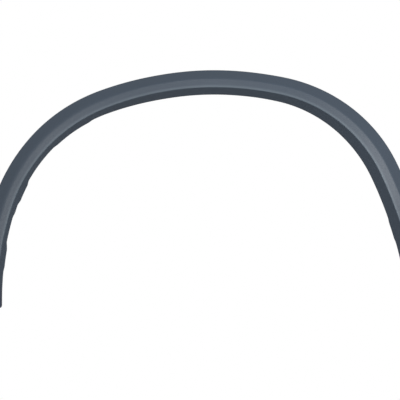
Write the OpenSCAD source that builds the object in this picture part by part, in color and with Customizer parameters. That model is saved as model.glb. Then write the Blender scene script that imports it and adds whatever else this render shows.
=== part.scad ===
// Wheel arch trim: one thin-walled moulding that frames a car's wheel opening.
// X runs along the car, -Y faces outwards, +Y goes into the body, +Z is up.
// The lip is the inner, most proud edge of the face. Its line is a chain of tangent arcs
// that starts level at the crown, and every section of the moulding hangs on that line.
// The origin lies on the axis of the crown's stud, where it leaves its collar.

/* [Lip line, left of the crown] */
// Radius of the crown arc
left_crown_r = 600; // [500:5:900]
// Turn of the crown arc in degrees
left_crown_turn = 22; // [10:1:30]
// Radius of the shoulder arc
left_shoulder_r = 332; // [260:2:450]
// Turn of the shoulder arc in degrees
left_shoulder_turn = 50.5; // [40:0.5:60]
// Radius of the leg
left_leg_r = 620; // [500:10:900]
// Turn of the leg in degrees
left_leg_turn = 17.5; // [5:0.5:20]
// Straight foot below the leg
left_foot = 16; // [0:1:120]

/* [Lip line, right of the crown] */
// Radius of the crown arc
right_crown_r = 650; // [400:5:900]
// Turn of the crown arc in degrees
right_crown_turn = 12; // [5:1:25]
// Radius of the shoulder arc
right_shoulder_r = 296; // [240:2:400]
// Turn of the shoulder arc in degrees
right_shoulder_turn = 52.5; // [30:0.5:60]
// Radius of the leg
right_leg_r = 890; // [500:10:1000]
// Turn of the leg in degrees
right_leg_turn = 17; // [5:1:30]
// Straight foot below the leg
right_foot = 20; // [0:1:80]

/* [Section] */
// Thickness of the moulding
wall = 2.8; // [2:0.1:3.5]
// Depth of the seating plane on the body behind the lip
seat_depth = 26; // [20:1:34]
// Height of the rim that stands on the body
rim_h = 6; // [4:0.5:10]
// How far the shoulder line lies behind the lip
face_fall = 4.5; // [2:0.5:8]
// Width of the face at the crown
face_w_crown = 19; // [14:0.5:26]
// Width of the face on the legs
face_w_leg = 20; // [14:0.5:28]
// Width of the sloping flank at the crown
flank_w_crown = 19; // [14:0.5:26]
// Width of the sloping flank on the legs
flank_w_leg = 24; // [14:0.5:30]
// Rounding of the rim's outer edge
rim_round = 2.5; // [1:0.5:4]
// Rounding of the shoulder between flank and face at the crown
shoulder_round_crown = 12; // [4:1:20]
// Rounding of the shoulder on the left leg
shoulder_round_left = 40; // [6:1:46]
// Rounding of the shoulder on the right leg
shoulder_round_right = 16; // [6:1:40]
// Rounding of the lip
lip_round = 1.6; // [0.8:0.1:3]

/* [Return into the wheel opening] */
// Depth of the return on the left leg
return_left = 22.5; // [16:0.5:34]
// Depth of the return at the crown
return_crown = 31.5; // [20:0.5:40]
// Depth of the return on the right leg
return_right = 36; // [20:0.5:44]
// Lean of the return on the left leg in degrees
lean_left = 16; // [8:0.5:26]
// Lean of the return at the crown in degrees
lean_crown = 21; // [12:0.5:30]
// Lean of the return on the right leg in degrees
lean_right = 22; // [12:0.5:30]
// Distance of the foot walls' seat edge from the seating plane
foot_wall_gap = 1; // [0:0.5:4]
// Rounding of the return's rear corner at each foot
foot_round = 6; // [4:1:14]

/* [Change of section along the arch] */
// Distance from the crown at which the section starts to grow
grow_start = 80; // [0:5:100]
// Distance from the crown at which it has its full leg width
grow_end = 380; // [200:5:450]

/* [Rear edge of the return] */
// Distance of the shoulder tab from the crown, along the lip to the left
shoulder_tab = 315; // [290:1:340]
// Length of the shoulder tab
shoulder_tab_l = 104; // [60:1:120]
// How far the shoulder tab stands out of the rear edge
shoulder_tab_out = 3.3; // [1:0.1:6]
// Distance of the upper tab from the crown, along the lip to the left
upper_tab = 482; // [465:1:490]
// How far the upper tab stands out of the rear edge
upper_tab_out = 5.3; // [1:0.1:8]
// Distance of the lower tab from the crown, along the lip to the left
lower_tab = 626; // [615:1:640]
// How far the lower tab stands out of the rear edge
lower_tab_out = 2.7; // [1:0.1:8]
// Distance of the right tab from the crown, along the lip to the right
right_tab = 530; // [500:1:560]
// How far the right tab stands out of the rear edge
right_tab_out = 2; // [1:0.1:6]
// Length of the upper, the lower and the right tab
leg_tab_l = 58; // [30:1:60]
// Distance of the cut-back edge between the left tabs from the crown
relief = 564; // [555:1:570]
// Length of this cut-back edge
relief_l = 76; // [50:1:90]
// How far it is cut back
relief_in = 4; // [1:0.1:6]
// Length of the slope at each end of a tab
tab_slope = 13; // [8:1:15]

/* [Studs on the back] */
// Number of studs on each side of the crown's own stud
side_studs = 4; // [2:1:6]
// Distance of the outer studs from the ends of the moulding
stud_end_gap = 60; // [30:5:120]
// Radius of a stud
stud_r = 3; // [2:0.1:4]
// How far a stud stands past the seating plane
stud_out = 10; // [4:0.5:14]
// Chamfer on a stud's tip
stud_chamfer = 1; // [0.5:0.1:1.5]
// Radius of the collar round a stud's foot
collar_r = 5; // [4.5:0.1:5.5]
// How far the collar stops short of the seating plane
collar_short = 8; // [4:0.5:12]
// Distance of the studs from the lip, across the face
stud_u = 9.5; // [8:0.5:12]

/* [Ribs on the back] */
// Thickness of a rib
rib_t = 2; // [1.5:0.1:3]
// Depth behind the lip at which the ribs stop
rib_depth = 14; // [10:0.5:18]
// Number of ribs in each space between two studs
ribs_between = 2; // [1:1:4]

/* [Smoothness] */
// Largest turn from one section to the next in degrees
turn_step = 4; // [2:0.5:6]
// Largest distance from one section to the next
run_step = 45; // [20:5:80]

/* [Hidden] */
trim_colour = [0.27, 0.30, 0.34];
flat_steps = 48;
rim_steps = 3;
shoulder_steps = 5;
lip_steps = 4;
end_steps = 4;
inner_steps = 3;
least_round = 0.4;
left_arcs = [
    [left_crown_r, left_crown_turn],
    [left_shoulder_r, left_shoulder_turn],
    [left_leg_r, left_leg_turn]
];
right_arcs = [
    [right_crown_r, right_crown_turn],
    [right_shoulder_r, right_shoulder_turn],
    [right_leg_r, right_leg_turn]
];
function arc_length(arc) = arc[0] * arc[1] * PI / 180;
function chain_length(arcs, i = 0) =
    i == len(arcs) ? 0 : arc_length(arcs[i]) + chain_length(arcs, i + 1);
left_end = -(chain_length(left_arcs) + left_foot);
right_end = chain_length(right_arcs) + right_foot;
flank_depth = seat_depth - rim_h;
collar_top = seat_depth - collar_short;
stud_tip = seat_depth + stud_out;
foot_wall_in = 0.57 * wall;
collar_sink = 0.1 * wall;
foot_steps = 5;
slope_steps = 3;
least_gap = 5;

// A place on the lip: [x, z, angle of the outward normal from upright]
function walk(arcs, s, i = 0, p = [0, 0], turn = 0) =
    i == len(arcs)
    ? [p[0] + s * cos(turn), p[1] - s * sin(turn), turn]
    : let (r = arcs[i][0], run = arc_length(arcs[i]))
      let (centre = p - r * [sin(turn), cos(turn)])
      let (next = turn + (s < run ? s / r * 180 / PI : arcs[i][1]))
      let (q = centre + r * [sin(next), cos(next)])
      s < run ? [q[0], q[1], next] : walk(arcs, s - run, i + 1, q, next);
function mirrored(place) = [-place[0], place[1], -place[2]];
function lip_at(s) = s < 0 ? mirrored(walk(left_arcs, -s)) : walk(right_arcs, s);

// How far the section has grown from crown to leg, and its sizes there
function eased(t) = let (c = min(1, max(0, t))) c * c * (3 - 2 * c);
function grown(s) = eased((abs(s) - grow_start) / (grow_end - grow_start));
function between(a, b, t) = a + (b - a) * t;
function face_w(s) = between(face_w_crown, face_w_leg, grown(s));
function outer_w(s) = face_w(s) + between(flank_w_crown, flank_w_leg, grown(s));
function shoulder_round(s) = let (leg = s < 0 ? shoulder_round_left : shoulder_round_right)
    between(shoulder_round_crown, leg, grown(s));
function lean(s) = between(lean_crown, s < 0 ? lean_left : lean_right, grown(s));
function full_return(s) = between(return_crown, s < 0 ? return_left : return_right, grown(s));

// What the return's rear edge gains or loses: [place, length, rise]
edge_steps = [
    [-shoulder_tab, shoulder_tab_l, shoulder_tab_out],
    [-upper_tab, leg_tab_l, upper_tab_out],
    [-relief, relief_l, -relief_in],
    [-lower_tab, leg_tab_l, lower_tab_out],
    [right_tab, leg_tab_l, right_tab_out]
];
function sum(list, i = 0) = i == len(list) ? 0 : list[i] + sum(list, i + 1);
function edge_rise(s) = sum([for (step = edge_steps)
    step[2] * eased((step[1] / 2 - abs(s - step[0])) / tab_slope)]);
function from_end(s) = min(s - left_end, right_end - s);
function corner_loss(e) = e >= foot_round ? 0 : foot_round - sqrt(foot_round ^ 2 - (foot_round - e) ^ 2);
function return_d(s) = full_return(s) + edge_rise(s) - corner_loss(from_end(s));

// The five corners of the visible side, as [distance out from the lip, depth behind it]
function corners(s) = let (d = return_d(s) - wall / 2) [
    [outer_w(s), seat_depth],
    [outer_w(s), flank_depth],
    [face_w(s), face_fall],
    [0, 0],
    [-d * tan(lean(s)), d]
];
function heading(a, b) = atan2(b[1] - a[1], b[0] - a[0]);
function turned(a) = a > 180 ? a - 360 : a < -180 ? a + 360 : a;
function inward(angle) = [sin(angle), -cos(angle)];
function set_in(p, i, w) =
    i == 0 ? p[0] + w * inward(heading(p[0], p[1]))
    : i == len(p) - 1 ? p[i] + w * inward(heading(p[i - 1], p[i]))
    : let (a = inward(heading(p[i - 1], p[i])), b = inward(heading(p[i], p[i + 1])))
      p[i] + w * (a + b) / (1 + a * b);
function inset(p, w) = [for (i = [0 : len(p) - 1]) set_in(p, i, w)];

// Points of a rounded corner of radius r in n steps
function rounded(p, i, r, n) =
    let (a = heading(p[i - 1], p[i]), turn = turned(heading(p[i], p[i + 1]) - a))
    let (start = p[i] - r * tan(abs(turn) / 2) * [cos(a), sin(a)])
    let (centre = start + r * inward(a))
    [for (k = [0 : n]) centre - r * inward(a + turn * k / n)];
function rolled_end(p, q, n) =
    let (centre = (p + q) / 2, a = heading(centre, p), r = norm(p - q) / 2)
    [for (k = [1 : n - 1]) centre + r * [cos(a - 180 * k / n), sin(a - 180 * k / n)]];
function inner_round(r) = max(r - wall, least_round);
function section(s) =
    let (p = corners(s), q = inset(p, wall))
    concat(
        [p[0]],
        rounded(p, 1, rim_round, rim_steps),
        rounded(p, 2, shoulder_round(s), shoulder_steps),
        rounded(p, 3, lip_round, lip_steps),
        [p[4]],
        rolled_end(p[4], q[4], end_steps),
        [q[4]],
        [q[3]],
        reversed(rounded(q, 2, inner_round(shoulder_round(s)), inner_steps)),
        [q[1]],
        [q[0]]
    );
function reversed(list) = [for (i = [len(list) - 1 : -1 : 0]) list[i]];

// Where the sections stand: evenly round each arc, and closer at the feet and the tabs.
// A section of the arch that would stand within least_gap of one of those is left out.
function arc_stations(arcs, i = 0, from = 0) =
    i == len(arcs) ? []
    : let (run = arc_length(arcs[i]), n = ceil(max(arcs[i][1] / turn_step, run / run_step)))
      concat([for (k = [1 : n]) from + k * run / n], arc_stations(arcs, i + 1, from + run));
foot_gaps = [for (k = [0 : foot_steps]) foot_round * (1 - cos(90 * k / foot_steps))];
foot_stations = concat([for (g = foot_gaps) left_end + g], [for (g = foot_gaps) right_end - g]);
tab_stations = [for (step = edge_steps, side = [-1, 1], k = [0 : slope_steps])
    step[0] + side * (step[1] / 2 - tab_slope * k / slope_steps)];
arch_stations = concat([0], arc_stations(right_arcs), -arc_stations(left_arcs));
close_stations = concat(foot_stations, tab_stations);
function nearest(s, list) = min([for (t = list) abs(s - t)]);
function sorted(list) = len(list) < 2 ? list
    : let (below = [for (t = list) if (t < list[0]) t], above = [for (t = list) if (t > list[0]) t])
      concat(sorted(below), [list[0]], sorted(above));
stations = sorted(concat(close_stations,
    [for (s = arch_stations) if (nearest(s, close_stations) > least_gap) s]));

function in_space(place, uv) =
    [place[0] + uv[0] * sin(place[2]), uv[1], place[1] + uv[0] * cos(place[2])];
module shell() {
    rings = [for (s = stations) let (place = lip_at(s)) [for (uv = section(s)) in_space(place, uv)]];
    ring_n = len(rings[0]);
    last = len(rings) - 1;
    points = [for (ring = rings, p = ring) p];
    sides = [for (j = [0 : last - 1], i = [0 : ring_n - 1], half = [0, 1])
        let (a = j * ring_n + i, b = j * ring_n + (i + 1) % ring_n)
        half == 0 ? [a, b + ring_n, b] : [a, a + ring_n, b + ring_n]];
    caps = [
        [for (i = [0 : ring_n - 1]) i],
        [for (i = [ring_n - 1 : -1 : 0]) last * ring_n + i]
    ];
    polyhedron(points, concat(sides, caps));
}

// Puts what follows on the lip at distance s: local x along it, y into the body, z outwards
module on_lip(s) {
    place = lip_at(s);
    translate([place[0], 0, place[1]]) rotate([0, place[2], 0]) children();
}
module into_body() {
    rotate([-90, 0, 0]) children();
}

// A thin web across the hollow back, cut off level at rib_depth
function at_depth(a, b, v) = [between(a[0], b[0], (v - a[1]) / (b[1] - a[1])), v];
module rib(s) {
    m = inset(corners(s), wall / 2);
    on_lip(s) rotate([0, -90, 0]) linear_extrude(rib_t, center = true)
        polygon([at_depth(m[1], m[2], rib_depth), m[2], m[3], at_depth(m[3], m[4], rib_depth)]);
}

// A stud stands on a collar that starts inside the face's thickness, and has a chamfered tip
function collar_start(s) = face_fall * (stud_u + collar_r) / face_w(s) + collar_sink;
module stud(s) {
    start = collar_start(s);
    on_lip(s) translate([0, start, stud_u]) into_body() {
        cylinder(r = collar_r, h = collar_top - start, $fn = flat_steps);
        cylinder(r = stud_r, h = stud_tip - stud_chamfer - start, $fn = flat_steps);
        translate([0, 0, stud_tip - stud_chamfer - start])
            cylinder(r1 = stud_r, r2 = stud_r - stud_chamfer, h = stud_chamfer, $fn = flat_steps);
    }
}

// A plain wall closes the hollow at each foot
module foot_wall(s, side) {
    m = inset(corners(s + side * foot_round), wall / 2);
    on_lip(s + side * foot_wall_in) rotate([0, -90, 0]) linear_extrude(wall, center = true)
        polygon([at_depth(m[0], m[1], seat_depth - foot_wall_gap), m[1], m[2], m[3],
            at_depth(m[3], m[4], full_return(s) - foot_round)]);
}

// The studs are spaced evenly from the crown to each foot, with the ribs between them
left_step = (left_end + stud_end_gap) / side_studs;
right_step = (right_end - stud_end_gap) / side_studs;
stud_places = concat([0], [for (step = [left_step, right_step], k = [1 : side_studs]) k * step]);
rib_places = [for (step = [left_step, right_step], k = [0 : side_studs - 1], j = [1 : ribs_between])
    (k + j / (ribs_between + 1)) * step];

module arch_trim() {
    color(trim_colour) translate([0, -collar_top, -stud_u]) {
        shell();
        for (s = stud_places) {
            stud(s);
            rib(s);
        }
        for (s = rib_places) rib(s);
        foot_wall(left_end, 1);
        foot_wall(right_end, -1);
    }
}

arch_trim();
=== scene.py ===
import math

import bpy
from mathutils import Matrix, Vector


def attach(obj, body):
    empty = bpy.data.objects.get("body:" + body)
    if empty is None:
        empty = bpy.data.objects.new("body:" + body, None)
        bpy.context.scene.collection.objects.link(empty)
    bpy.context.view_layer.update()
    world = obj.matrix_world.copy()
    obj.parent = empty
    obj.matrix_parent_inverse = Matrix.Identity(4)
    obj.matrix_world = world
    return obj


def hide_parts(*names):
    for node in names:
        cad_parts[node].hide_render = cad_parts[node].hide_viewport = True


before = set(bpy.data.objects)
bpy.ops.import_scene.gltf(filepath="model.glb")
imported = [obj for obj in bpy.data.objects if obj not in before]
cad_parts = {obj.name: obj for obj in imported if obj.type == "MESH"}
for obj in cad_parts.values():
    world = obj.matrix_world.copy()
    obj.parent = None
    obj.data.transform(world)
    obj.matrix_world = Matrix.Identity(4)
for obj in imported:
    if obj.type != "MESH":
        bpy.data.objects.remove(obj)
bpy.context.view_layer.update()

# The lip line: the proud inner edge of the trim's face, on which the whole moulding hangs.
# On the real part it runs parallel to the edge of the wheel opening in the car's side.
# It leaves the crown level and runs down to each foot as a chain of tangent arcs.
MM = 0.001
LEFT_ARCS = ((600 * MM, 22), (332 * MM, 50.5), (620 * MM, 17.5))
LEFT_FOOT = 16 * MM
RIGHT_ARCS = ((650 * MM, 12), (296 * MM, 52.5), (890 * MM, 17))
RIGHT_FOOT = 20 * MM
SEAT_DEPTH = 26 * MM
COLLAR_TOP = SEAT_DEPTH - 8 * MM
STUD_U = 9.5 * MM
LIP_STEP = 1.5 * MM


def run_of(arcs, foot):
    return sum(radius * math.radians(turn) for radius, turn in arcs) + foot


def walk(arcs, run):
    """How far along and up the lip is after a run from the crown down one side."""
    x, z, turn = 0.0, 0.0, 0.0
    for radius, degrees in arcs:
        length = radius * math.radians(degrees)
        step = min(run, length) / radius
        x += radius * (math.sin(turn + step) - math.sin(turn))
        z += radius * (math.cos(turn + step) - math.cos(turn))
        turn += step
        if run <= length:
            return x, z
        run -= length
    return x + run * math.cos(turn), z - run * math.sin(turn)


def lip_at(s):
    x, z = walk(RIGHT_ARCS, s) if s > 0 else walk(LEFT_ARCS, -s)
    return math.copysign(x, s), -COLLAR_TOP, z - STUD_U


LEFT_END, RIGHT_END = -run_of(LEFT_ARCS, LEFT_FOOT), run_of(RIGHT_ARCS, RIGHT_FOOT)
lip_steps = round((RIGHT_END - LEFT_END) / LIP_STEP)
lip_line = bpy.data.meshes.new("lip_line")
runs = [LEFT_END + (RIGHT_END - LEFT_END) * k / lip_steps for k in range(lip_steps + 1)]
lip_line.from_pydata([lip_at(run) for run in runs], [(k, k + 1) for k in range(lip_steps)], [])
moulding = bpy.data.objects.new("arch_trim_moulding", lip_line)
bpy.context.scene.collection.objects.link(moulding)


# The shell: one injection-moulded skin of even thickness, swept along the lip line.
# A rim stands on the body, a flank slopes out to the shoulder, and the face runs to the lip.
# From the lip a return leans back into the wheel opening; its rear edge steps in shallow tabs.
class Flow:
    """One socket of a node tree. Sums on it add Math nodes, or Vector Math nodes on vectors."""

    def __init__(self, socket):
        self.socket, self.tree = socket, socket.id_data
        self.vector = socket.type in ("VECTOR", "RGBA")

    def node(self, kind, settings=(), sockets=(), out=0):
        """Any node: its type, its settings, and what its sockets are set to or linked from."""
        made = self.tree.nodes.new(kind)
        for name, value in dict(settings).items():
            setattr(made, name, value)
        for name, value in dict(sockets).items():
            for item in value if isinstance(value, list) else [value]:
                if isinstance(item, Flow):
                    self.tree.links.new(item.socket, made.inputs[name])
                else:
                    made.inputs[name].default_value = item
        return Flow(made.outputs[out])

    def other(self, name):
        """Another output of the node that this socket belongs to."""
        return Flow(self.socket.node.outputs[name])

    def maths(self, operation, *values, out=0):
        vector = any(isinstance(value, Flow) and value.vector for value in values)
        kind = "ShaderNodeVectorMath" if vector else "ShaderNodeMath"
        return self.node(kind, {"operation": operation}, enumerate(values), out)

    def __add__(self, value):
        return self.maths("ADD", self, value)

    def __sub__(self, value):
        return self.maths("SUBTRACT", self, value)

    def __rsub__(self, value):
        return self.maths("SUBTRACT", value, self)

    def __mul__(self, value):
        if self.vector:
            return self.node("ShaderNodeVectorMath", {"operation": "SCALE"}, {0: self, "Scale": value})
        return self.maths("MULTIPLY", self, value)

    def __truediv__(self, value):
        return self.maths("DIVIDE", self, value)

    def __rtruediv__(self, value):
        return self.maths("DIVIDE", value, self)

    __radd__, __rmul__ = __add__, __mul__


tree = bpy.data.node_groups.new("moulded_trim", "GeometryNodeTree")
tree.interface.new_socket("Lip line", in_out="INPUT", socket_type="NodeSocketGeometry")
tree.interface.new_socket("Moulding", in_out="OUTPUT", socket_type="NodeSocketGeometry")
group_in, group_out = tree.nodes.new("NodeGroupInput"), tree.nodes.new("NodeGroupOutput")
settings, size = {}, {}


def take_sizes(sizes):
    """Gives the tree a named input for each size, and keeps what the modifier sets it to."""
    for name, value in sizes.items():
        kind = {int: "NodeSocketInt", float: "NodeSocketFloat", tuple: "NodeSocketVector"}[type(value)]
        made = tree.interface.new_socket(name, in_out="INPUT", socket_type=kind)
        settings[made.identifier] = value
        size[name] = Flow(group_in.outputs[name])


SHELL_SIZES = {
    "Wall": 2.8 * MM,
    "Seat depth": SEAT_DEPTH,
    "Rim height": 6 * MM,
    "Face fall": 4.5 * MM,
    "Face width at the crown": 19 * MM,
    "Face width on the legs": 20 * MM,
    "Flank width at the crown": 19 * MM,
    "Flank width on the legs": 24 * MM,
    "Return at the crown": 31.5 * MM,
    "Return on the left leg": 22.5 * MM,
    "Return on the right leg": 36 * MM,
    "Lean at the crown": math.radians(21),
    "Lean on the left leg": math.radians(16),
    "Lean on the right leg": math.radians(22),
    "Rim rounding": 2.5 * MM,
    "Shoulder rounding at the crown": 12 * MM,
    "Shoulder rounding on the left leg": 40 * MM,
    "Shoulder rounding on the right leg": 16 * MM,
    "Lip rounding": 1.6 * MM,
    "Edge break": 0.4 * MM,
    "Foot rounding": 6 * MM,
    "Growth starts": 80 * MM,
    "Growth ends": 380 * MM,
    "Tab slope": 13 * MM,
    "Shoulder tab: place, length, rise": (-315 * MM, 104 * MM, 3.3 * MM),
    "Upper tab: place, length, rise": (-482 * MM, 58 * MM, 5.3 * MM),
    "Relief: place, length, rise": (-564 * MM, 76 * MM, -4 * MM),
    "Lower tab: place, length, rise": (-626 * MM, 58 * MM, 2.7 * MM),
    "Right tab: place, length, rise": (530 * MM, 58 * MM, 2 * MM),
    "Left end": LEFT_END,
    "Right end": RIGHT_END,
}
take_sizes(SHELL_SIZES)
wall = size["Wall"]
lip = wall.node("GeometryNodeMeshToCurve", {}, {"Mesh": Flow(group_in.outputs["Lip line"])})
index = wall.node("GeometryNodeInputIndex")


def eased(value, low, high):
    ends = {"Value": value, "From Min": low, "From Max": high}
    return wall.node("ShaderNodeMapRange", {"interpolation_type": "SMOOTHSTEP"}, ends)


def mixed(a, b, t):
    return a + (b - a) * t


def part(vector, axis):
    return vector.node("ShaderNodeSeparateXYZ", {}, {0: vector}, axis)


def across(u, v):
    """A place in the section: u out from the lip, v behind it."""
    return wall.node("ShaderNodeCombineXYZ", {}, {0: u, 1: v})


def pick(number, kind, items):
    """The item of that number, from a list of items of one kind."""
    switch = wall.node("GeometryNodeIndexSwitch", {"data_type": kind}).socket.node
    while len(switch.index_switch_items) < len(items):
        switch.index_switch_items.new()
    for place, item in enumerate([number] + items):
        if isinstance(item, Flow):
            tree.links.new(item.socket, switch.inputs[place])
        else:
            switch.inputs[place].default_value = item
    return Flow(switch.outputs[0])


def in_space(s, place):
    """Where a place in the section lies, at a run s along the lip from the crown."""
    at = {"Curves": lip, "Length": s - size["Left end"]}
    spot = wall.node("GeometryNodeSampleCurve", {"mode": "LENGTH", "use_all_curves": True}, at, 1)
    outward = wall.maths("CROSS_PRODUCT", spot.other("Tangent"), (0, 1, 0))
    return spot + outward * part(place, 0) + wall.node("ShaderNodeCombineXYZ", {}, {1: part(place, 1)})


def grown(s):
    return eased(wall.maths("ABSOLUTE", s), size["Growth starts"], size["Growth ends"])


def along(s, name):
    """A size that changes from the crown to each leg."""
    left, right = size[name + " on the left leg"], size[name + " on the right leg"]
    leg = mixed(left, right, wall.maths("GREATER_THAN", s, 0))
    return mixed(size[name + " at the crown"], leg, grown(s))


def tab_rise(s, tab):
    place, length, rise = (part(size[tab], axis) for axis in range(3))
    inside = length / 2 - wall.maths("ABSOLUTE", s - place)
    return rise * eased(inside, 0, size["Tab slope"])


def return_depth(s):
    from_end = wall.maths("MINIMUM", s - size["Left end"], size["Right end"] - s)
    full = size["Foot rounding"]
    short = wall.maths("MAXIMUM", full - from_end, 0)
    depth = along(s, "Return") - full + wall.maths("SQRT", full * full - short * short)
    for tab in [name for name in SHELL_SIZES if name.endswith("rise")]:
        depth = depth + tab_rise(s, tab)
    return depth


def corners(s):
    """The five corners of the visible side: two on the rim, the shoulder, the lip and the return's end."""
    face = mixed(size["Face width at the crown"], size["Face width on the legs"], grown(s))
    outer = face + mixed(size["Flank width at the crown"], size["Flank width on the legs"], grown(s))
    slope = along(s, "Lean")
    deep = return_depth(s) - wall / 2 * (1 - wall.maths("COSINE", slope))
    flank_end = size["Seat depth"] - size["Rim height"]
    return [across(outer, size["Seat depth"]), across(outer, flank_end), across(face, size["Face fall"]),
            across(0, 0), across(deep * wall.maths("TANGENT", slope) * -1, deep)]


def inset(points, width):
    """The same corners, set in by a width that is even all along."""
    runs = [wall.maths("NORMALIZE", b - a) for a, b in zip(points, points[1:])]
    sides = [wall.maths("CROSS_PRODUCT", run, (0, 0, 1)) for run in runs]
    mitres = [(a + b) * (1 / (1 + wall.maths("DOT_PRODUCT", a, b, out=1))) for a, b in zip(sides, sides[1:])]
    return [point + side * width for point, side in zip(points, [sides[0]] + mitres + [sides[-1]])]


take_sizes({"Sections": 600, "Crowding at the feet": 0.8})


def section_run(number):
    """Sections stand closer together towards the feet, where the return's corner is rounded."""
    t = number / (size["Sections"] - 1)
    crowded = t - wall.maths("SINE", t * math.tau) * (size["Crowding at the feet"] / math.tau)
    return mixed(size["Left end"], size["Right end"], crowded)


# Each section is an outline of corners, and each corner has a radius and a count of facets.
# The return's end is all but a full round: a little flat between its two rounds keeps them apart.
END_ROUNDS_TO_WALL = 2.02
CORNERS = 10
end_round = wall / END_ROUNDS_TO_WALL
section = wall.maths("FLOOR", index / CORNERS)
corner = index - section * CORNERS
shoulder = along(section_run(section), "Shoulder rounding")
rounds = [(size["Edge break"], 2), (size["Rim rounding"], 6), (shoulder, 12), (size["Lip rounding"], 10),
          (end_round, 5), (end_round, 5), (size["Edge break"], 3), (shoulder - wall, 8),
          (size["Edge break"], 3), (size["Edge break"], 2)]
visible = corners(section_run(section))
outline = visible + inset(visible, wall)[::-1]
points = {"Count": size["Sections"] * CORNERS, "Position": pick(corner, "VECTOR", outline)}
rings = wall.node("GeometryNodePointsToCurves", {}, {
    "Points": wall.node("GeometryNodePoints", {}, points), "Curve Group ID": section, "Weight": corner})
rings = wall.node("GeometryNodeSetSplineCyclic", {}, {"Geometry": rings, "Cyclic": True})
rings = wall.node("GeometryNodeFilletCurve", {"mode": "POLY"}, {
    "Curve": rings, "Count": pick(corner, "INT", [count for _, count in rounds]),
    "Radius": pick(corner, "FLOAT", [radius for radius, _ in rounds])})

# A grid is laid over the rings, and its last column closes on its first.
WELD = 0.002 * MM
ring_points = wall.node("GeometryNodeAttributeDomainSize", {"component": "CURVE"}, {0: rings})
round_count = ring_points / size["Sections"]
columns = round_count + 1
grid = wall.node("GeometryNodeMeshGrid", {}, {"Vertices X": size["Sections"], "Vertices Y": columns})
row = wall.maths("FLOOR", (index + 0.5) / columns)
column = wall.maths("MODULO", index - row * columns, round_count)
position = wall.node("GeometryNodeInputPosition")
place = wall.node("GeometryNodeSampleIndex", {"data_type": "FLOAT_VECTOR"},
                  {"Geometry": rings, "Value": position, "Index": row * round_count + column})
skin = {"Geometry": grid, "Position": in_space(section_run(row), place)}
skin = wall.node("GeometryNodeFlipFaces", {}, {"Mesh": wall.node("GeometryNodeSetPosition", {}, skin)})
caps = []
for number, run in ((0, size["Left end"]), (size["Sections"] - 1, size["Right end"])):
    chosen = wall.maths("COMPARE", index, number, 0.5)
    ring = {"Geometry": rings, "Selection": chosen}
    ring = wall.node("GeometryNodeSeparateGeometry", {"domain": "CURVE"}, ring)
    cap = wall.node("GeometryNodeFillCurve", {"mode": "NGONS"}, {"Curve": ring})
    cap = {"Geometry": cap, "Position": in_space(run, position)}
    caps.append(wall.node("GeometryNodeSetPosition", {}, cap))
caps[1] = wall.node("GeometryNodeFlipFaces", {}, {"Mesh": caps[1]})
shell = wall.node("GeometryNodeJoinGeometry", {}, {0: [skin] + caps})
shell = wall.node("GeometryNodeMergeByDistance", {}, {"Geometry": shell, "Distance": WELD})

# The studs: nine push-in studs stand on collars behind the face, moulded in one with the shell.
# One is at the crown and four are on each side of it, at even runs along the lip.
# A collar starts inside the face's wall, so that the two merge.
STUD_FACETS = 48
COLLAR_IN_WALL = 0.1
STUD_SIZES = {
    "Studs on each side": 4,
    "Gap at the ends": 60 * MM,
    "Stud radius": 3 * MM,
    "Stud reach past the seat": 10 * MM,
    "Stud chamfer": 1 * MM,
    "Collar radius": 5 * MM,
    "Collar shortfall": 8 * MM,
    "Collar rounding": 0.4 * MM,
    "Distance from the lip": STUD_U,
}
take_sizes(STUD_SIZES)
side_studs = size["Studs on each side"]


def spaced(number):
    """The run of a stud by its number from the left; a part of a number lies between two studs."""
    from_crown = number - side_studs
    left = -1 * (size["Left end"] + size["Gap at the ends"]) / side_studs
    right = (size["Right end"] - size["Gap at the ends"]) / side_studs
    return from_crown * mixed(left, right, wall.maths("GREATER_THAN", from_crown, 0))


collar_top = size["Seat depth"] - size["Collar shortfall"]
tip = size["Seat depth"] + size["Stud reach past the seat"]
far_side = size["Distance from the lip"] + size["Collar radius"]
start = size["Face fall"] * far_side / size["Face width at the crown"]
rows = [(size["Collar radius"], start + wall * COLLAR_IN_WALL),
        (size["Collar radius"], collar_top - size["Collar rounding"]),
        (size["Collar radius"] - size["Collar rounding"], collar_top),
        (size["Stud radius"], collar_top),
        (size["Stud radius"], tip - size["Stud chamfer"]),
        (size["Stud radius"] - size["Stud chamfer"], tip)]
turned = wall.node("GeometryNodeMeshCylinder", {}, {
    "Vertices": STUD_FACETS, "Side Segments": len(rows) - 1, "Radius": 1.0, "Depth": 1.0})
height = wall.maths("ROUND", (part(position, 2) + 0.5) * (len(rows) - 1))
radius = pick(height, "FLOAT", [r for r, _ in rows])
level = pick(height, "FLOAT", [v for _, v in rows])
turned_place = {0: part(position, 0) * radius, 1: part(position, 1) * radius, 2: level}
turned = wall.node("GeometryNodeSetPosition", {}, {
    "Geometry": turned, "Position": wall.node("ShaderNodeCombineXYZ", {}, turned_place)})
stud_place = in_space(spaced(index), across(size["Distance from the lip"], 0))
stud_points = wall.node("GeometryNodePoints", {}, {"Count": side_studs * 2 + 1, "Position": stud_place})
studs = wall.node("GeometryNodeInstanceOnPoints", {}, {
    "Points": stud_points, "Instance": turned, "Rotation": (-math.pi / 2, 0, 0)})
studs = wall.node("GeometryNodeRealizeInstances", {}, {"Geometry": studs})

# The ribs: thin webs across the hollow back stiffen the face, and a wall closes each foot.
# A rib stands at every stud and two between each pair, and all end well inside the seat.
RIB_SIZES = {
    "Rib thickness": 2 * MM,
    "Rib depth": 14 * MM,
    "Ribs between studs": 2,
    "Foot wall gap": 1 * MM,
    "Foot wall's middle, in walls": 0.57,
}
take_sizes(RIB_SIZES)


def at_depth(a, b, v):
    return mixed(a, b, (v - part(a, 1)) / (part(b, 1) - part(a, 1)))


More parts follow.
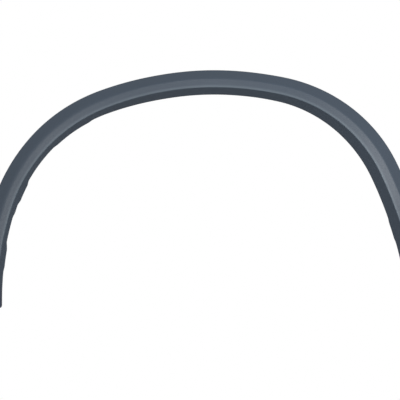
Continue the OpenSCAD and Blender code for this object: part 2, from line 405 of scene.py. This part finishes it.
def webs(count, run_at, outline_at, sides, thickness):
    """Flat webs square to the lip, each with the outline that the section has at its run."""
    prism = wall.node("GeometryNodeMeshCylinder", {}, {"Vertices": sides, "Radius": 1.0, "Depth": 1.0})
    spots = wall.node("GeometryNodePoints", {}, {"Count": count})
    copies = wall.node("GeometryNodeInstanceOnPoints", {}, {"Points": spots, "Instance": prism})
    copies = wall.node("GeometryNodeRealizeInstances", {}, {"Geometry": copies})
    number = wall.maths("FLOOR", (index + 0.5) / (2 * sides))
    vertex = index - number * 2 * sides
    end = wall.maths("GREATER_THAN", vertex, sides - 0.5)
    place = pick(vertex - end * sides, "VECTOR", outline_at(number))
    run = run_at(number) + (end - 0.5) * thickness
    placed = {"Geometry": copies, "Position": in_space(run, place)}
    return wall.node("GeometryNodeFlipFaces", {}, {"Mesh": wall.node("GeometryNodeSetPosition", {}, placed)})


between = size["Ribs between studs"] + 1


def rib_run(number):
    return spaced(number / between)


def rib_outline(number):
    _, flank, shoulder, lip_corner, deep = inset(corners(rib_run(number)), wall / 2)
    return [at_depth(flank, shoulder, size["Rib depth"]), shoulder, lip_corner,
            at_depth(lip_corner, deep, size["Rib depth"])]


def foot_side(number):
    return 1 - number * 2


def foot_end(number):
    return mixed(size["Left end"], size["Right end"], number)


def foot_run(number):
    return foot_end(number) + foot_side(number) * wall * size["Foot wall's middle, in walls"]


def foot_outline(number):
    inner = foot_end(number) + foot_side(number) * size["Foot rounding"]
    seat, flank, shoulder, lip_corner, deep = inset(corners(inner), wall / 2)
    depth = along(foot_end(number), "Return") - size["Foot rounding"]
    return [at_depth(seat, flank, size["Seat depth"] - size["Foot wall gap"]), flank, shoulder, lip_corner,
            at_depth(lip_corner, deep, depth)]


ribs = webs(side_studs * between * 2 + 1, rib_run, rib_outline, 4, size["Rib thickness"])
foot_walls = webs(2, foot_run, foot_outline, 5, wall)

# The finish: matte slate-grey polypropylene, whose colour drifts a little and whose grain breaks
# up the gloss. A painted highlight lightens the base colour along the proud lip.
# The return, which faces the wheel, has a coarser grain and so a duller sheen.
GRAIN_CELL = 0.9 * MM
GRAIN_DEPTH = 0.016 * MM
WARP_CELL = GRAIN_CELL / 0.4
WARP = 0.6 * GRAIN_CELL
VALLEY = 0.35
SPECKLE = 0.22 * MM
CLOUD = 90 * MM
DARKER, LIGHTER = (0.044, 0.058, 0.077, 1), (0.052, 0.068, 0.091, 1)
# Painted highlight: the lighter colour that the base blends to along the lip, and how near the lip it
# starts.
LIP_HIGHLIGHT_COLOUR = (0.094, 0.118, 0.142, 1)
LIP_HIGHLIGHT_FROM, LIP_HIGHLIGHT_TO, LIP_HIGHLIGHT_SHARE = 1.7 * MM, 0.1 * MM, 0.8
HUB = (-0.03, 0.0, -0.43)
TURNED_IN = (0.4, 0.8)  # how far the return's side turns towards the hub, as cosines
SHEEN = {"on a hill": 0.28, "in a valley": 0.05, "cloud": 0.05, "return": 0.34}
SPECULAR_LEVEL = 0.16
plastic = bpy.data.materials.new("grained_polypropylene")
plastic.use_nodes = True
shader = plastic.node_tree.nodes["Principled BSDF"]
spot = Flow(plastic.node_tree.nodes.new("ShaderNodeTexCoord").outputs["Object"])


def noise(cell, sockets, out=0):
    return spot.node("ShaderNodeTexNoise", {}, {"Vector": spot, "Scale": 1 / cell, **sockets}, out)


def ramp(value, low, high, top=1.0):
    ends = {"Value": value, "From Min": low, "From Max": high, "To Max": top}
    return spot.node("ShaderNodeMapRange", {"interpolation_type": "SMOOTHSTEP"}, ends)


def blend(factor, a, b):
    return spot.node("ShaderNodeMix", {"data_type": "RGBA"}, {"Factor": factor, 6: a, 7: b}, 2)


def feed(name, flow):
    plastic.node_tree.links.new(flow.socket, shader.inputs[name])


cloud = noise(CLOUD, {"Detail": 3.0})
speckle = noise(SPECKLE, {"Detail": 2.0})
warped = spot + noise(WARP_CELL, {}, 1) * WARP
from_valley = spot.node("ShaderNodeTexVoronoi", {"feature": "DISTANCE_TO_EDGE"},
                        {"Vector": warped, "Scale": 1 / GRAIN_CELL})
hills = ramp(from_valley, 0.0, VALLEY)
plain = blend(cloud * 0.75 + speckle * 0.25, DARKER, LIGHTER)
# Painted highlight: a mask that lightens the base colour within about two millimetres of the lip.
lip_highlight = ramp(part(spot, 1) + COLLAR_TOP, LIP_HIGHLIGHT_FROM, LIP_HIGHLIGHT_TO, LIP_HIGHLIGHT_SHARE)
to_hub = spot.maths("NORMALIZE", spot.maths("MULTIPLY", HUB - spot, (1, 0, 1)))
on_return = ramp(spot.maths("DOT_PRODUCT", spot.other("Normal"), to_hub, out=1), *TURNED_IN)
feed("Base Color", blend(lip_highlight * (0.75 + cloud * 0.5), plain, LIP_HIGHLIGHT_COLOUR))
feed("Roughness", SHEEN["on a hill"] + cloud * SHEEN["cloud"] + (1 - hills) * SHEEN["in a valley"]
     + on_return * SHEEN["return"])
feed("Normal", spot.node("ShaderNodeBump", {}, {
    "Strength": 1.0, "Distance": GRAIN_DEPTH, "Height": hills + speckle * 0.25}))
shader.inputs["Specular IOR Level"].default_value = SPECULAR_LEVEL

# The moulding: shell, studs, ribs and foot walls are merged into one closed skin.
# Edges that turn by more than SHARP stay sharp, and the rest is shaded smooth.
SHARP = math.radians(40)
whole = wall.node("GeometryNodeMeshBoolean", {"operation": "UNION", "solver": "MANIFOLD"},
                  {1: [shell, studs, ribs, foot_walls]})
sharp = wall.maths("GREATER_THAN", wall.node("GeometryNodeInputMeshEdgeAngle"), SHARP)
whole = wall.node("GeometryNodeSetShadeSmooth", {"domain": "FACE"},
                  {"Geometry": whole, "Shade Smooth": True})
whole = wall.node("GeometryNodeSetShadeSmooth", {"domain": "EDGE"},
                  {"Geometry": whole, "Selection": sharp, "Shade Smooth": False})
whole = wall.node("GeometryNodeRealizeInstances", {}, {"Geometry": whole})
whole = wall.node("GeometryNodeSetMaterial", {}, {"Geometry": whole, "Material": plastic})
tree.links.new(whole.socket, group_out.inputs["Moulding"])

moulded = moulding.modifiers.new("moulded", "NODES")
moulded.node_group = tree
for identifier, value in settings.items():
    moulded[identifier] = value
weighted = moulding.modifiers.new("flat_faces_stay_flat", "WEIGHTED_NORMAL")
weighted.keep_sharp = True
bpy.context.view_layer.update()
finished = moulding.evaluated_get(bpy.context.evaluated_depsgraph_get())
moulding.data = bpy.data.meshes.new_from_object(finished)
moulding.data.name = "arch_trim_moulding"
moulding.modifiers.clear()
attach(moulding, "root")
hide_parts("arch_trim")

# The floor: a pale floor under the trim, which hangs at the height that it has on the car.
# It lies below the picture's frame, so that the trim stands before plain white.
FLOOR_Z = -0.80
FLOOR_HALF, FLOOR_FRONT, FLOOR_BACK = 3, -0.5, 0.45
floor_mesh = bpy.data.meshes.new("floor")
floor_mesh.from_pydata([(-FLOOR_HALF, FLOOR_FRONT, FLOOR_Z), (FLOOR_HALF, FLOOR_FRONT, FLOOR_Z),
                        (FLOOR_HALF, FLOOR_BACK, FLOOR_Z), (-FLOOR_HALF, FLOOR_BACK, FLOOR_Z)],
                       [], [(0, 1, 2, 3)])
floor = bpy.data.objects.new("floor", floor_mesh)
bpy.context.scene.collection.objects.link(floor)
floor_paint = bpy.data.materials.new("floor_paint")
floor_paint.use_nodes = True
floor_shader = floor_paint.node_tree.nodes["Principled BSDF"]
floor_shader.inputs["Base Color"].default_value = (0.8, 0.8, 0.8, 1)
floor_shader.inputs["Roughness"].default_value = 0.7
floor_mesh.materials.append(floor_paint)

# The studio: the background is white where it is seen or mirrored, and lights nothing.
# A faint even light is all that the world itself sheds on the trim.
WHITE = (1, 1, 1, 1)
AMBIENT = 0.02
world = bpy.data.worlds.new("studio")
bpy.context.scene.world = world
world.use_nodes = True
world.node_tree.nodes.clear()
seen = Flow(world.node_tree.nodes.new("ShaderNodeLightPath").outputs["Is Camera Ray"])
mirrored = seen.maths("MAXIMUM", seen, seen.other("Is Glossy Ray"))
shown = seen.maths("MAXIMUM", mirrored, seen.other("Is Transmission Ray"))
around = seen.node("ShaderNodeBackground", {}, {"Color": WHITE, "Strength": AMBIENT})
white = seen.node("ShaderNodeBackground", {}, {"Color": WHITE, "Strength": 1.0})
mix = seen.node("ShaderNodeMixShader", {}, {0: shown, 1: around, 2: white})
sky = world.node_tree.nodes.new("ShaderNodeOutputWorld")
world.node_tree.links.new(mix.socket, sky.inputs["Surface"])


def lamp(name, place, width, power):
    """A round softbox that points at the trim's middle and that the camera doesn't see."""
    light = bpy.data.lights.new(name, "AREA")
    light.shape, light.size, light.energy = "DISK", width, power
    made = bpy.data.objects.new(name, light)
    made.location = place
    made.visible_camera = False
    bpy.context.scene.collection.objects.link(made)
    made.rotation_euler = (Vector(MIDDLE) - Vector(place)).to_track_quat("-Z", "Y").to_euler()


# The softboxes: the face mirrors a half ring of them before the trim, brighter on the right.
# The flank mirrors none, so it stays darker. A low one fills the return, and one lights the back.
MIDDLE = (-0.03, 0.0, -0.2)
SOFTBOX_Y = -1.2
SOFTBOX_WIDTH = 0.36
SOFTBOXES = ((-1.26, -0.25, 4.9), (-1.24, 0.05, 2.6), (-1.03, 0.40, 4.5), (-0.73, 0.65, 2.6),
             (-0.38, 0.78, 1.9), (0.02, 0.83, 2.9), (0.42, 0.78, 1.8), (0.80, 0.60, 3.4),
             (1.10, 0.32, 5.4), (1.24, 0.05, 8.8))
for number, (x, z, watts) in enumerate(SOFTBOXES, 1):
    lamp(f"softbox_{number}", (x, SOFTBOX_Y, z), SOFTBOX_WIDTH, watts)
lamp("low_fill", (0.35, -0.7, -0.33), 0.2, 1.9)
lamp("back_softbox", (-0.03, 3.2, -0.1), 1.2, 70)

# The camera looks square at the lip plane, from about halfway up the arch.
# The frame takes in VIEW_W of that plane, so the outer sides of both legs are cut off.
CAMERA_AWAY = 1.8
CAMERA_X, CAMERA_Z = -0.0291, -0.2408
VIEW_W = 0.82
SENSOR = 36
camera_data = bpy.data.cameras.new("camera")
camera = bpy.data.objects.new("camera", camera_data)
bpy.context.scene.collection.objects.link(camera)
camera_data.sensor_width = SENSOR
camera_data.lens = SENSOR * CAMERA_AWAY / VIEW_W
camera.location = (CAMERA_X, -COLLAR_TOP - CAMERA_AWAY, CAMERA_Z)
camera.rotation_euler = (math.pi / 2, 0, 0)
bpy.context.scene.camera = camera
bpy.context.scene.view_settings.view_transform = "Standard"
